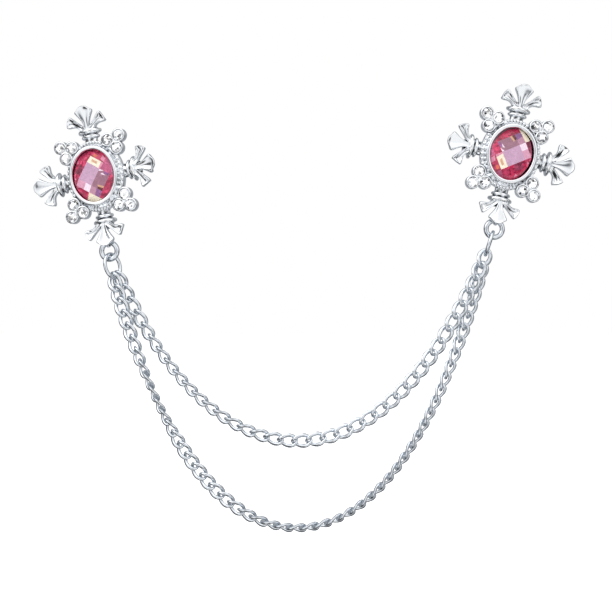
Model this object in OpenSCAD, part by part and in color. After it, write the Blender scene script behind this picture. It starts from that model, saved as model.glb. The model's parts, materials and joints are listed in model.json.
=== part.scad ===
// Lapel chain: two like cross brooches, joined by two curb chains that hang between them.
// The left pin's seat is the origin, the fronts face -Y, and Z points up.

/* [Pair] */
// Distance between the two pins, left to right
pin_spacing = 102.7; // [98:0.1:108]
// How much higher the right pin sits
pin_rise = 5.4; // [0:0.1:10]
// Tilt of the left brooch towards the right one, in degrees
left_tilt = 10.5; // [0:0.5:14]
// Tilt of the right brooch towards the left one, in degrees
right_tilt = 12; // [0:0.5:14]
// Outward turn of the left brooch's face, in degrees
left_yaw = 14; // [0:0.5:18]
// Outward turn of the right brooch's face, in degrees
right_yaw = 5; // [0:0.5:18]

/* [Center stone] */
// Width of the oval stone
stone_w = 10.6; // [9.6:0.1:11.4]
// Height of the oval stone
stone_h = 13.3; // [12.4:0.1:14.2]
// Height of the stone from its flat back to the middle of its dome
stone_t = 3; // [2.4:0.1:3.6]
// Fall of the dome from its middle to the top and bottom of the oval
stone_fall = 2.2; // [1.4:0.1:2.4]
// Turn of the left stone's facets, in degrees
left_facet_turn = -128; // [-180:1:180]
// Turn of the right stone's facets, in degrees
right_facet_turn = 34; // [-180:1:180]

/* [Bezel and flange] */
// Gap between a stone and the metal round it
stone_gap = 0.11; // [0.1:0.01:0.15]
// Metal left under the oval stone
seat_t = 1.3; // [1:0.1:1.6]
// Wall of the bezel
bezel_wall = 1; // [0.8:0.05:1.3]
// Height of the bezel's rim over the back of the brooch
bezel_h = 3.5; // [3:0.1:4]
// Reach of the flange past the bezel
flange_reach = 1.15; // [0.9:0.05:1.4]
// Thickness of the flange
flange_t = 1.5; // [1.2:0.1:1.8]
// Diameter of one milgrain bead
bead_d = 0.9; // [0.7:0.05:1]
// Clear metal between two milgrain beads
bead_gap = 0.14; // [0.1:0.01:0.3]

/* [Arms] */
// Length of an arm from the bezel to the tip of its middle petal
arm_len = 10; // [9:0.1:10.6]
// Width of an arm's neck
neck_w = 3.7; // [3.2:0.1:4]
// Width of an arm's collar
collar_w = 6.1; // [5.4:0.1:6.6]
// Depth of an arm's round axis behind the back plane
axis_depth = 0.6; // [0.4:0.1:0.9]
// Width across the three petals
fleur_w = 10.6; // [9.6:0.1:11.4]
// Width of the middle petal
petal_w = 5; // [4.4:0.1:5.6]
// Thickness of a petal
petal_t = 1.2; // [1:0.05:1.4]
// Height of the petals' back where they leave the collar
petal_base_z = 0.7; // [0.5:0.05:0.9]
// Rise of the petals towards their tips, in degrees
petal_lift = 12; // [10:0.5:14]
// Depth of the hollow in a petal's face
petal_scoop = 0.55; // [0.3:0.05:0.7]

/* [Clusters] */
// Diameter of a small round stone
small_d = 2.5; // [2.3:0.05:2.7]
// Height of a small round stone
small_t = 1.5; // [1.3:0.05:1.7]
// Wall of a stone cup
cup_wall = 0.32; // [0.28:0.02:0.4]
// Height of a stone cup over the back of the brooch
cup_h = 2.1; // [1.8:0.05:2.4]
// Distance from the brooch's centre to the middle of a cluster, sideways
cluster_x = 6.55; // [6.2:0.05:6.9]
// Distance from the brooch's centre to the middle of a cluster, up or down
cluster_y = 7.6; // [7.2:0.05:8]
// Distance between two stones of a cluster
cluster_pitch = 3.1; // [3:0.05:3.4]

/* [Pins] */
// Diameter of the tack post
post_d = 1.1; // [0.9:0.05:1.3]
// Length of the tack post behind its base
post_len = 8; // [6:0.5:10]
// Length of the post's pointed end
post_point = 1.6; // [1:0.1:2.4]
// Diameter of the post's base
post_base_d = 6; // [5:0.5:8]
// Thickness of the post's base
post_base_t = 0.8; // [0.6:0.1:1.2]
// Gap between the post's base and the back of the brooch
post_gap = 0.11; // [0.1:0.01:0.15]

/* [Jump rings] */
// Outer diameter of the round ring
round_d = 5.4; // [5.3:0.1:6]
// Wire of the round ring
round_wire = 1.3; // [1.1:0.05:1.3]
// Outer width of the oval ring
oval_w = 5.75; // [5.5:0.05:6]
// Outer length of the oval ring
oval_h = 6.9; // [6.7:0.1:7.4]
// Wire of the oval ring
oval_wire = 0.92; // [0.86:0.02:0.94]
// Lean of the left oval ring from upright towards the right brooch, in degrees
left_oval_lean = 13; // [11:1:15]
// Lean of the right oval ring from upright towards the left brooch, in degrees
right_oval_lean = 19; // [16:1:21]
// Turn of the left oval ring out of its brooch's plane, its outer side to the front, in degrees
left_oval_turn = 65; // [60:1:70]
// Turn of the right oval ring out of its brooch's plane, its inner side to the front, in degrees
right_oval_turn = 77; // [74:1:82]
// Gap left between any two rings or links that hold each other
ring_gap = 0.13; // [0.1:0.01:0.15]

/* [Chains] */
// Depth of the inner chain's lowest point under the left pin
inner_drop = 65.8; // [60:0.2:70]
// Depth of the outer chain's lowest point under the left pin
outer_drop = 87.4; // [82:0.2:92]
// Distance from link to link along the inner chain
inner_pitch = 3.55; // [3.45:0.05:3.55]
// Distance from link to link along the outer chain
outer_pitch = 3.25; // [3.2:0.05:3.45]
// Outer length of a link
link_len = 5.44; // [5.4:0.02:5.48]
// Outer width of a link
link_w = 3.88; // [3.8:0.02:4]
// Wire of a link
link_wire = 0.76; // [0.7:0.02:0.78]
// Twist of a link from end to end, in degrees
link_twist = 90; // [84:1:96]
// Distance in depth between the two chains where they hang side by side
chain_spread = 2.86; // [2.8:0.02:2.96]
// Offset of each chain from the middle of the oval ring's lower bend
chain_offset = 0.8; // [0.78:0.01:0.82]

/* [Hidden] */
SIDES = ["left", "right"];
SMALL_STONES = [for (i = [1 : 12]) str("rhinestone_", i)];
BROOCH_PARTS = concat(["setting", "center_stone"], SMALL_STONES, ["pin_post", "round_ring", "oval_ring"]);

// Number of sides that stand for an oval outline
OVAL_SIDES = 48;
// Number of sections along a link or an oval ring, and of sides round its wire
LINK_SECTIONS = 12;
LINK_WIRE_SIDES = 5;
OVAL_SECTIONS = 20;
OVAL_WIRE_SIDES = 8;
// Thickness of a cutting body, larger than the whole brooch
FAR = 60;
// Small overrun of a cutting body past the face that it cuts
PAST = 1;
$fn = 48;

bezel_w = stone_w + 2 * (stone_gap + bezel_wall);
bezel_len = stone_h + 2 * (stone_gap + bezel_wall);
flange_w = bezel_w + 2 * flange_reach;
flange_len = bezel_len + 2 * flange_reach;
cup_d = small_d + 2 * (stone_gap + cup_wall);
round_r = (round_d - round_wire) / 2;
oval_half_w = (oval_w - oval_wire) / 2;
oval_half_h = (oval_h - oval_wire) / 2;

// An oval outline
function oval(w, h) = [
    for (i = [0 : OVAL_SIDES - 1]) let (a = 360 * i / OVAL_SIDES) [w / 2 * cos(a), h / 2 * sin(a)]
];

// A closed outline that is the same on both sides of the first axis, from the points of one side
function mirrored(points) = concat(
    points,
    [for (i = [len(points) - 1 : -1 : 0]) if (points[i].y > 0) [points[i].x, -points[i].y]]
);

// The value at share s of a table whose rows hold a share and a value, blended smoothly between rows
function table_value(table, s, row = 0) =
    s <= table[0][0] ? table[0][1]
    : row + 1 >= len(table) ? table[len(table) - 1][1]
    : s > table[row + 1][0] ? table_value(table, s, row + 1)
    : let (f = (s - table[row][0]) / (table[row + 1][0] - table[row][0]))
      table[row][1] + (table[row + 1][1] - table[row][1]) * (1 - cos(180 * f)) / 2;

// Collar sections: share of the arm's length, and share of the way from the neck's to the collar's radius
COLLAR = [
    [-0.12, 0.15], [0.04, 0.15], [0.09, 0], [0.17, 0], [0.19, 0.38], [0.225, 0.5], [0.26, 0.4],
    [0.27, 0.28], [0.285, 0.6], [0.32, 0.72], [0.335, 0.56], [0.345, 0.8], [0.38, 1], [0.41, 0.9],
    [0.425, 0.4], [0.46, 0.2], [0.5, 0], [0.56, -0.5]
];
// Middle petal: share of the arm's length, and share of the petal's half width
MIDDLE_PETAL = [
    [0.42, 0.2], [0.52, 0.22], [0.6, 0.33], [0.66, 0.44], [0.74, 0.6], [0.8, 0.76], [0.845, 0.94],
    [0.865, 1], [0.88, 0.9], [0.905, 0.75], [0.955, 0.5], [0.99, 0.3], [1, 0.12]
];
// Side petal: share of the arm's length, and share of half the width across the petals
SIDE_PETAL = [
    [0.4, 0.26], [0.43, 0.42], [0.47, 0.58], [0.505, 0.74], [0.53, 0.9], [0.55, 1], [0.615, 0.97],
    [0.68, 0.9], [0.735, 0.8], [0.78, 0.69], [0.72, 0.54], [0.66, 0.4], [0.59, 0.26], [0.51, 0.13],
    [0.44, 0.04]
];
// Where each petal's hollow starts and the point that it runs towards, in the same shares
MIDDLE_SCOOP = [[0.6, 0], [1, 0]];
SIDE_SCOOP = [[0.42, 0.12], [0.68, 0.88]];
// Widths of the hollows, as shares of the middle petal's width
MIDDLE_SCOOP_W = 0.82;
SIDE_SCOOP_W = 0.4;
// Share of the arm's length at which the petals start to rise
PETAL_ROOT = 0.42;

// An arm's sections as points of its outline, from its axis outwards
module arm_core() {
    neck_r = norm([neck_w / 2, axis_depth]);
    collar_r = norm([collar_w / 2, axis_depth]);
    profile = [for (row = COLLAR) [neck_r + (collar_r - neck_r) * row[1], row[0] * arm_len]];
    last = len(profile) - 1;
    translate([0, 0, -axis_depth])
        rotate([0, 90, 0])
            rotate_extrude()
                polygon(concat([[0, profile[0].y]], profile, [[0, profile[last].y]]));
}

// Lays a flat outline of a petal at the right height, rising towards the tip
module petal_plane() {
    translate([PETAL_ROOT * arm_len, 0, petal_base_z])
        rotate([0, -petal_lift, 0])
            translate([-PETAL_ROOT * arm_len, 0, 0])
                children();
}

// Points of a table, from shares of the arm's length and of a half width
function petal_points(table, half_w) = [for (row = table) [row[0] * arm_len, row[1] * half_w]];

// A round cutter that starts at one point, runs past another and leaves a hollow of the given width
module scoop(ends, width) {
    reach = ends[1] - ends[0];
    radius = (width * width / 4 + petal_scoop * petal_scoop) / (2 * petal_scoop);
    translate([ends[0].x, ends[0].y, petal_t - petal_scoop + radius])
        rotate([0, 90, atan2(reach.y, reach.x)])
            cylinder(r = radius, h = arm_len);
}

module middle_petal() {
    petal_plane() difference() {
        linear_extrude(petal_t) polygon(mirrored(petal_points(MIDDLE_PETAL, petal_w / 2)));
        scoop(petal_points(MIDDLE_SCOOP, petal_w / 2), petal_w * MIDDLE_SCOOP_W);
    }
}

module side_petal() {
    petal_plane() difference() {
        linear_extrude(petal_t) polygon(petal_points(SIDE_PETAL, fleur_w / 2));
        scoop(petal_points(SIDE_SCOOP, fleur_w / 2), petal_w * SIDE_SCOOP_W);
    }
}

// One arm, along +X from the bezel's edge
module arm() {
    arm_core();
    middle_petal();
    side_petal();
    mirror([0, 1, 0]) side_petal();
}

// The four arms' directions and where each leaves the bezel
ARMS = [[0, bezel_w / 2], [90, bezel_len / 2], [180, bezel_w / 2], [270, bezel_len / 2]];

module arms() {
    for (a = ARMS)
        rotate([0, 0, a[0]]) translate([a[1], 0, 0]) arm();
}

// Centres of the twelve small stones: three to a cluster, in a triangle that points outwards
CLUSTER_ANGLES = [42, 160, 280];
SMALL_PLACES = [
    for (sy = [1, -1], sx = [1, -1], a = CLUSTER_ANGLES)
        let (r = cluster_pitch / sqrt(3))
        [sx * (cluster_x + r * cos(a)), sy * (cluster_y + r * sin(a))]
];

// Height at which a small stone rests, sunk into its cup by most of its own height
SMALL_SUNK = 0.8;
small_z = cup_h - SMALL_SUNK * small_t + stone_gap;

module cups() {
    for (p = SMALL_PLACES)
        translate([p.x, p.y, 0]) cylinder(d = cup_d, h = cup_h);
}

// Milgrain beads along the flange, left out where a cup covers them
bead_oval_w = flange_w - bead_d;
bead_oval_len = flange_len - bead_d;
bead_count = floor(PI * (bead_oval_w + bead_oval_len) / 2 / (bead_d + bead_gap));

// The oval's angle for which its outline has run through about the share s of its length
function oval_angle(s) =
    let (f = (bead_oval_len - bead_oval_w) / (bead_oval_len + bead_oval_w))
    360 * s + f * 45 * sin(720 * s);

function covered(p) = min([for (c = SMALL_PLACES) norm(c - p)]) < (cup_d + bead_d) / 2;

BEADS = [
    for (i = [0 : bead_count - 1])
        let (a = oval_angle((i + 0.5) / bead_count), p = [bead_oval_w / 2 * cos(a), bead_oval_len / 2 * sin(a)])
        if (!covered(p)) p
];

module milgrain() {
    for (p = BEADS)
        translate([p.x, p.y, flange_t]) sphere(d = bead_d);
}

// The eye behind the bottom petal, which the round ring runs through
EYE_AT = 0.914;
EYE_SLACK = 0.17;
EYE_WALL = 0.32;
EYE_W = 0.7;
eye_bore = round_wire / 2 + EYE_SLACK;
eye_y = -(bezel_len / 2 + EYE_AT * arm_len);
eye_z = petal_base_z + (EYE_AT - PETAL_ROOT) * arm_len * tan(petal_lift) - eye_bore;

module eye() {
    translate([-EYE_W / 2, eye_y, eye_z])
        rotate([0, 90, 0])
            difference() {
                cylinder(r = eye_bore + EYE_WALL, h = EYE_W);
                translate([0, 0, -PAST]) cylinder(r = eye_bore, h = EYE_W + 2 * PAST);
            }
}

module bezel_pockets() {
    translate([0, 0, seat_t])
        linear_extrude(bezel_h)
            polygon(oval(stone_w + 2 * stone_gap, stone_h + 2 * stone_gap));
    for (p = SMALL_PLACES)
        translate([p.x, p.y, small_z - stone_gap])
            cylinder(d = small_d + 2 * stone_gap, h = small_t);
}

module setting() {
    color("silver") difference() {
        union() {
            linear_extrude(flange_t) polygon(oval(flange_w, flange_len));
            linear_extrude(bezel_h) polygon(oval(bezel_w, bezel_len));
            intersection() {
                arms();
                translate([-FAR / 2, -FAR / 2, 0]) cube([FAR, FAR, FAR]);
            }
            cups();
            milgrain();
            eye();
        }
        bezel_pockets();
    }
}

// The checkerboard cut: lines between the facets, along and across, as shares of the stone's width
FACET_LINES_X = [-0.8, -0.385, -0.225, 0.215, 0.385, 0.8];
FACET_LINES_Y = [-0.8, -0.25, 0.12, 0.385, 0.8];
// How far the facets' corners stand over the round bowl that the facets touch
FACET_RISE = 0.2;
dome_k = stone_fall * 4 / (stone_h * stone_h);

function dome_z(x, y) = stone_t + FACET_RISE - dome_k * (x * x + y * y);

// Facets meet at points of one bowl, and each is flat because the bowl's height is a sum of an x and a y part
module checker_dome() {
    nx = len(FACET_LINES_X);
    ny = len(FACET_LINES_Y);
    layer = nx * ny;
    top = [for (y = FACET_LINES_Y * stone_w, x = FACET_LINES_X * stone_w) [x, y, dome_z(x, y)]];
    bottom = [for (p = top) [p.x, p.y, -stone_t]];
    edge = concat(
        [for (i = [0 : nx - 2]) i],
        [for (i = [0 : ny - 2]) nx - 1 + i * nx],
        [for (i = [0 : nx - 2]) layer - 1 - i],
        [for (i = [0 : ny - 2]) layer - nx - i * nx]
    );
    count = len(edge);
    facets = [for (j = [0 : ny - 2], i = [0 : nx - 2]) let (k = j * nx + i) [k, k + nx, k + nx + 1, k + 1]];
    walls = [
        for (i = [0 : count - 1])
            let (a = edge[i], b = edge[(i + 1) % count]) [a, b, b + layer, a + layer]
    ];
    back = [for (f = facets) [for (i = [3 : -1 : 0]) f[i] + layer]];
    polyhedron(concat(top, bottom), concat(facets, walls, back));
}

module center_stone(facet_turn) {
    color("palevioletred") translate([0, 0, seat_t + stone_gap])
        intersection() {
            linear_extrude(stone_t + PAST) polygon(oval(stone_w, stone_h));
            rotate([0, 0, facet_turn]) checker_dome();
        }
}

// A small round stone: an eight-sided table, eight crown facets, a girdle and a tapered back.
// Each level is a share of the radius and a share of the height
SMALL_SIDES = 8;
SMALL_LEVELS = [[0.5, 0], [1, 0.5], [1, 0.62], [0.56, 1]];

module rhinestone() {
    points = [
        for (row = SMALL_LEVELS, i = [0 : SMALL_SIDES - 1])
            let (a = 360 * (i + 0.5) / SMALL_SIDES, r = row[0] * small_d / 2)
            [r * cos(a), r * sin(a), row[1] * small_t]
    ];
    last = (len(SMALL_LEVELS) - 1) * SMALL_SIDES;
    sides = [
        for (k = [0 : len(SMALL_LEVELS) - 2], i = [0 : SMALL_SIDES - 1])
            let (a = k * SMALL_SIDES + i, b = k * SMALL_SIDES + (i + 1) % SMALL_SIDES)
            [a, a + SMALL_SIDES, b + SMALL_SIDES, b]
    ];
    back = [[for (i = [0 : SMALL_SIDES - 1]) i]];
    table = [[for (i = [SMALL_SIDES - 1 : -1 : 0]) last + i]];
    color("white") polyhedron(points, concat(sides, back, table));
}

module pin_post() {
    color("darkgray") translate([0, 0, -post_gap])
        rotate([180, 0, 0])
            rotate_extrude()
                polygon([
                    [0, 0],
                    [post_base_d / 2, 0],
                    [post_base_d / 2, post_base_t],
                    [post_d / 2, post_base_t],
                    [post_d / 2, post_base_t + post_len - post_point],
                    [post_d / 8, post_base_t + post_len],
                    [0, post_base_t + post_len]
                ]);
}

function unit(v) = v / norm(v);

// A wire swept along a closed loop of points, with the given number of sides
module wire_loop(path, radius, sides) {
    n = len(path);
    rings = [
        for (i = [0 : n - 1])
            let (
                along = unit(path[(i + 1) % n] - path[(i + n - 1) % n]),
                out = unit(path[i] - (path[i] * along) * along),
                up = cross(along, out)
            )
            for (k = [0 : sides - 1])
                let (a = 360 * k / sides) path[i] + radius * (cos(a) * out + sin(a) * up)
    ];
    faces = [
        for (i = [0 : n - 1], k = [0 : sides - 1])
            let (
                a = i * sides + k,
                b = i * sides + (k + 1) % sides,
                c = ((i + 1) % n) * sides + (k + 1) % sides,
                d = ((i + 1) % n) * sides + k
            )
            for (face = [[a, d, c], [a, c, b]]) face
    ];
    polyhedron(rings, faces);
}

// From a brooch's own frame, with x to its right, y up and z to its front, to the frame of the whole
function side_tilt(side) = side == "left" ? left_tilt : -right_tilt;
function side_yaw(side) = side == "left" ? -left_yaw : right_yaw;
function side_pin(side) = side == "left" ? [0, 0, 0] : [pin_spacing, 0, pin_rise];
function side_lean(side) = side == "left" ? left_oval_lean : -right_oval_lean;
function side_turn(side) = side == "left" ? left_oval_turn : right_oval_turn;

function turned(p, a) = [p.x * cos(a) - p.y * sin(a), p.x * sin(a) + p.y * cos(a), p.z];
function upright(p) = [p.x, -p.z, p.y];
function to_whole(side, p) =
    side_pin(side) + turned(upright(turned(p, side_tilt(side))), side_yaw(side));

module on_brooch(side) {
    translate(side_pin(side))
        rotate([0, 0, side_yaw(side)])
            rotate([90, 0, 0])
                rotate([0, 0, side_tilt(side)])
                    children();
}

// The round ring hangs from the eye in the brooch's own plane
round_center = [0, eye_y - round_r, eye_z];

module round_ring(side) {
    color("silver") on_brooch(side) translate(round_center)
        rotate_extrude() translate([round_r, 0]) circle(d = round_wire);
}

// The oval ring hangs through the round one. Its long side leans, and it is turned about that side
oval_seat = round_r - (round_wire + oval_wire) / 2 - ring_gap;

function oval_down(side) = turned([0, -1, 0], side_lean(side) - side_tilt(side));
function oval_side(side) =
    turned([-cos(side_turn(side)), 0, sin(side_turn(side))], side_lean(side) - side_tilt(side));
function oval_center(side) = round_center + (oval_seat + oval_half_h) * oval_down(side);
// The point of the lower bend at the distance w from its middle, towards the front
function oval_hook(side, w) =
    to_whole(side, oval_center(side) + w * oval_side(side)
        + oval_half_h * sqrt(1 - pow(w / oval_half_w, 2)) * oval_down(side));

module oval_ring(side) {
    path = [
        for (i = [0 : OVAL_SECTIONS - 1])
            let (a = 360 * i / OVAL_SECTIONS)
            oval_half_w * cos(a) * oval_side(side) + oval_half_h * sin(a) * oval_down(side)
    ];
    color("silver") on_brooch(side) translate(oval_center(side))
        wire_loop(path, oval_wire / 2, OVAL_WIRE_SIDES);
}

// A hanging chain's curve: a catenary through two ends, with its lowest point at a given height
function arc_ch(v) = ln(v + sqrt(v * v - 1));
function arc_sh(v) = ln(v + sqrt(v * v + 1));
function side_reach(a, h) = a * arc_ch(1 + h / a);
function side_length(a, h) = sqrt(h * h + 2 * a * h);

// The catenary's size for which its two sides together span the width, by halving the interval
function catenary_size(width, h0, h1, low = 1, high = 900, steps = 40) =
    let (mid = (low + high) / 2)
    steps == 0 ? mid
    : side_reach(mid, h0) + side_reach(mid, h1) > width
        ? catenary_size(width, h0, h1, low, mid, steps - 1)
        : catenary_size(width, h0, h1, mid, high, steps - 1);

// A strand: catenary size, lowest point, length of each side, depth of each end, and which ends lie in front.
// The outer strand lies in front at the left ring, and the inner one at the right ring
function strand(inner, drop) =
    let (
        s = inner ? -1 : 1,
        from = oval_hook("left", s * chain_offset - LEFT_HOOK_SHIFT),
        to = oval_hook("right", -s * chain_offset - RIGHT_HOOK_SHIFT),
        h0 = from.z + drop,
        h1 = to.z + drop,
        a = catenary_size(to.x - from.x, h0, h1)
    )
    [a, from.x + side_reach(a, h0), -drop, side_length(a, h0), side_length(a, h1), from.y, to.y, s];

// Length over which a chain moves from its ring to its own depth
SETTLE = 7.4;
// How far both chains' hold on a ring is shifted to the back of the left one, and to the front of the right one
LEFT_HOOK_SHIFT = 0.28;
RIGHT_HOOK_SHIFT = 0.09;

function ease(f) = f <= 0 ? 0 : f >= 1 ? 1 : (1 - cos(180 * f)) / 2;

// A point of the strand at a distance along it from its left end
function strand_point(st, along) =
    let (
        u = along - st[3],
        total = st[3] + st[4],
        x = st[1] + st[0] * arc_sh(u / st[0]),
        z = st[2] + sqrt(st[0] * st[0] + u * u) - st[0],
        share = along / total,
        middle = oval_hook("left", 0).y * (1 - share) + oval_hook("right", 0).y * share,
        own = middle - st[7] * (1 - 2 * share) * chain_spread / 2,
        from_left = ease(along / SETTLE),
        from_right = ease((total - along) / SETTLE),
        y = st[5] * (1 - from_left) + st[6] * (1 - from_right) + own * (from_left + from_right - 1)
    )
    [x, y, z];

// Roll of the links about the chain: share of the strand's length, and degrees from lying flat
LEFT_END_ROLL = 10;
RIGHT_END_ROLL = 12;
INNER_ROLL = [[0.02, LEFT_END_ROLL], [0.16, 32], [0.34, 32], [0.56, 8], [0.88, 6], [0.97, RIGHT_END_ROLL]];
OUTER_ROLL = [
    [0.02, LEFT_END_ROLL], [0.1, 10], [0.17, 45], [0.2, 45], [0.28, 12], [0.34, 15], [0.46, 64], [0.55, 68],
    [0.7, 62], [0.8, 50], [0.9, 30], [0.97, RIGHT_END_ROLL]
];

link_half_len = (link_len - link_wire) / 2;
link_half_w = (link_w - link_wire) / 2;
// Clearance between a ring's wire and the bend of the first link, and the distance to that link's middle
HOOK_GAP = 0.35;
end_reach = link_half_len - (link_wire + oval_wire) / 2 - HOOK_GAP;

// One link's path: an oval whose two ends are twisted against each other
LINK_PATH = [
    for (i = [0 : LINK_SECTIONS - 1])
        let (
            t = 360 * (i + 0.5) / LINK_SECTIONS,
            twist = -link_twist / 2 * cos(t)
        )
        [link_half_len * cos(t), link_half_w * sin(t) * cos(twist), link_half_w * sin(t) * sin(twist)]
];

module chain(inner, drop, pitch, roll_table) {
    st = strand(inner, drop);
    total = st[3] + st[4];
    gaps = round((total - 2 * end_reach) / pitch);
    step = (total - 2 * end_reach) / gaps;
    for (i = [0 : gaps])
        let (
            at = end_reach + i * step,
            place = strand_point(st, at),
            ahead = unit(strand_point(st, at + step / 2) - strand_point(st, at - step / 2)),
            level = unit(cross([0, -1, 0], ahead)),
            front_out = cross(ahead, level),
            roll = table_value(roll_table, at / total),
            side = cos(roll) * level + sin(roll) * front_out,
            face = cross(ahead, side)
        )
        multmatrix([
            [ahead.x, side.x, face.x, place.x],
            [ahead.y, side.y, face.y, place.y],
            [ahead.z, side.z, face.z, place.z],
            [0, 0, 0, 1]
        ])
            wire_loop(LINK_PATH, link_wire / 2, LINK_WIRE_SIDES);
}

module brooch_part(side, part) {
    if (part == "setting")
        on_brooch(side) setting();
    if (part == "center_stone")
        on_brooch(side) center_stone(side == "left" ? left_facet_turn : right_facet_turn);
    if (part == "pin_post")
        on_brooch(side) pin_post();
    if (part == "round_ring")
        round_ring(side);
    if (part == "oval_ring")
        oval_ring(side);
}

for (side = SIDES) {
    for (part = BROOCH_PARTS)
        brooch_part(side, part);
    for (i = [0 : 11])
        on_brooch(side)
                translate([SMALL_PLACES[i].x, SMALL_PLACES[i].y, small_z])
                    rhinestone();
}
color("silver") chain(true, inner_drop, inner_pitch, INNER_ROLL);  // inner_chain
color("silver") chain(false, outer_drop, outer_pitch, OUTER_ROLL);  // outer_chain
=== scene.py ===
"""The looks of a lapel chain: two like cross brooches with pink stones, joined by two curb chains."""
import json
import math
import random

import bmesh
import bpy
import numpy as np
from mathutils import Matrix, Vector


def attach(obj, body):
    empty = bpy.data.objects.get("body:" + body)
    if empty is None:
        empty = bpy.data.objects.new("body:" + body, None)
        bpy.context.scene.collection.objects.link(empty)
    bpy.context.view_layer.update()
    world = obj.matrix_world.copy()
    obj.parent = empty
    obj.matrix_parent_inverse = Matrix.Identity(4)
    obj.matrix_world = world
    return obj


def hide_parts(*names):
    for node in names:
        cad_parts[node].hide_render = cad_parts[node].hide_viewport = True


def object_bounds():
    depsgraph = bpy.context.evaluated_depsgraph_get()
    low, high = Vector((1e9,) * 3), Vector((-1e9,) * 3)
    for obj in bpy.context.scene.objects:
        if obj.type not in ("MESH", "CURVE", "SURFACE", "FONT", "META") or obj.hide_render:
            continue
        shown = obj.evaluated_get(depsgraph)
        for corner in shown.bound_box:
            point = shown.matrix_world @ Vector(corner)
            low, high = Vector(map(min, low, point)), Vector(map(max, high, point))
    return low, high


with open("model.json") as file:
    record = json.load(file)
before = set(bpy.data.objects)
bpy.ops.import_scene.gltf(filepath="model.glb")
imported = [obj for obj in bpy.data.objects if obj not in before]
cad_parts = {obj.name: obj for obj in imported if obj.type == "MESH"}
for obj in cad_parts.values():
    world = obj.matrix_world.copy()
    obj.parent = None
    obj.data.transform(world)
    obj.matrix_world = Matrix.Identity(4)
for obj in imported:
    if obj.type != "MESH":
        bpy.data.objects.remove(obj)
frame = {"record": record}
CAD_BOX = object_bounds()

# One millimetre in Blender's metres. Every size below is in millimetres
MM = 0.001
SIDES = ("left", "right")
MOUNTS = {m["name"]: m for m in frame["record"]["mounts"]}
# Tilt of each brooch in its own plane, in degrees
TILT = {"left": 10.5, "right": -12.0}

# Center stone and bezel
STONE_W = 10.6
STONE_H = 13.3
STONE_GAP = 0.11
SEAT_Z = 1.3
STONE_MIDDLE = 3.2
STONE_FALL = 2.2
FACET_TURN = {"left": -128, "right": 34}
BEZEL_WALL = 1.0
BEZEL_H = 3.5
FLANGE_REACH = 1.15
FLANGE_T = 1.5
BEAD_D = 0.9
BEAD_GAP = 0.14
BEAD_RISE = 0.08

# Arms
ARM_LENGTH = 10.0
NECK_W = 3.7
COLLAR_W = 6.1
AXIS_DEPTH = 0.6
FLEUR_W = 10.6
PETAL_W = 5.0
PETAL_T = 1.2
PETAL_BASE_Z = 0.7
PETAL_LIFT = 12.0
PETAL_ROOT = 0.42

# Clusters
SMALL_D = 2.5
SMALL_T = 1.5
CUP_WALL = 0.32
CUP_H = 2.1
CLUSTER_X = 6.55
CLUSTER_Y = 7.6
CLUSTER_PITCH = 3.1
CLUSTER_ANGLES = (42, 160, 280)
# Share of a clear stone's height that sits in its cup
SMALL_SUNK = 0.8

# Rings and links
ROUND_R = 2.05
ROUND_WIRE = 1.3
OVAL_WIRE = 0.92
LINK_LENGTH = 5.44
LINK_WIDTH = 3.88
LINK_WIRE = 0.73
LINK_SIDE_WIRE = 1.04
LINK_TWIST = 90.0

# The eye behind the bottom petal
EYE_AT = 0.914
EYE_BORE = 0.82
EYE_WALL = 0.32
EYE_W = 0.7

BEZEL_W = STONE_W + 2 * (STONE_GAP + BEZEL_WALL)
BEZEL_LEN = STONE_H + 2 * (STONE_GAP + BEZEL_WALL)
FLANGE_W = BEZEL_W + 2 * FLANGE_REACH
FLANGE_LEN = BEZEL_LEN + 2 * FLANGE_REACH
CUP_D = SMALL_D + 2 * (STONE_GAP + CUP_WALL)


# Small maths
def lerp(a, b, f):
    return a + (b - a) * f


def smooth(f):
    f = min(max(f, 0.0), 1.0)
    return f * f * (3 - 2 * f)


def curve_value(table, s):
    """The value at share s of a table of (share, value) rows, on a smooth curve through the rows."""
    if s <= table[0][0]:
        return table[0][1]
    for i in range(len(table) - 1):
        (s0, v0), (s1, v1) = table[i], table[i + 1]
        if s <= s1:
            before = table[max(i - 1, 0)]
            after = table[min(i + 2, len(table) - 1)]
            slope0 = (v1 - before[1]) / (s1 - before[0]) * (s1 - s0)
            slope1 = (after[1] - v0) / (after[0] - s0) * (s1 - s0)
            f = (s - s0) / (s1 - s0)
            f2, f3 = f * f, f * f * f
            values = (2 * f3 - 3 * f2 + 1) * v0 + (3 * f2 - 2 * f3) * v1
            return values + (f3 - 2 * f2 + f) * slope0 + (f3 - f2) * slope1
    return table[-1][1]


def brooch_matrix(side):
    """From a brooch's own millimetres (x right, y up, z front) to the frame."""
    mount = MOUNTS[side + "_pin_on"]
    back = Vector(mount["axis"])
    yaw = -math.atan2(back.x, back.y)
    return (
        Matrix.Translation(Vector(mount["pos_m"]))
        @ Matrix.Rotation(yaw, 4, "Z")
        @ Matrix.Rotation(math.pi / 2, 4, "X")
        @ Matrix.Rotation(math.radians(TILT[side]), 4, "Z")
        @ Matrix.Scale(MM, 4)
    )


# Meshes
def new_object(name, data):
    piece = bpy.data.objects.new(name, data)
    bpy.context.scene.collection.objects.link(piece)
    return piece


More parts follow.
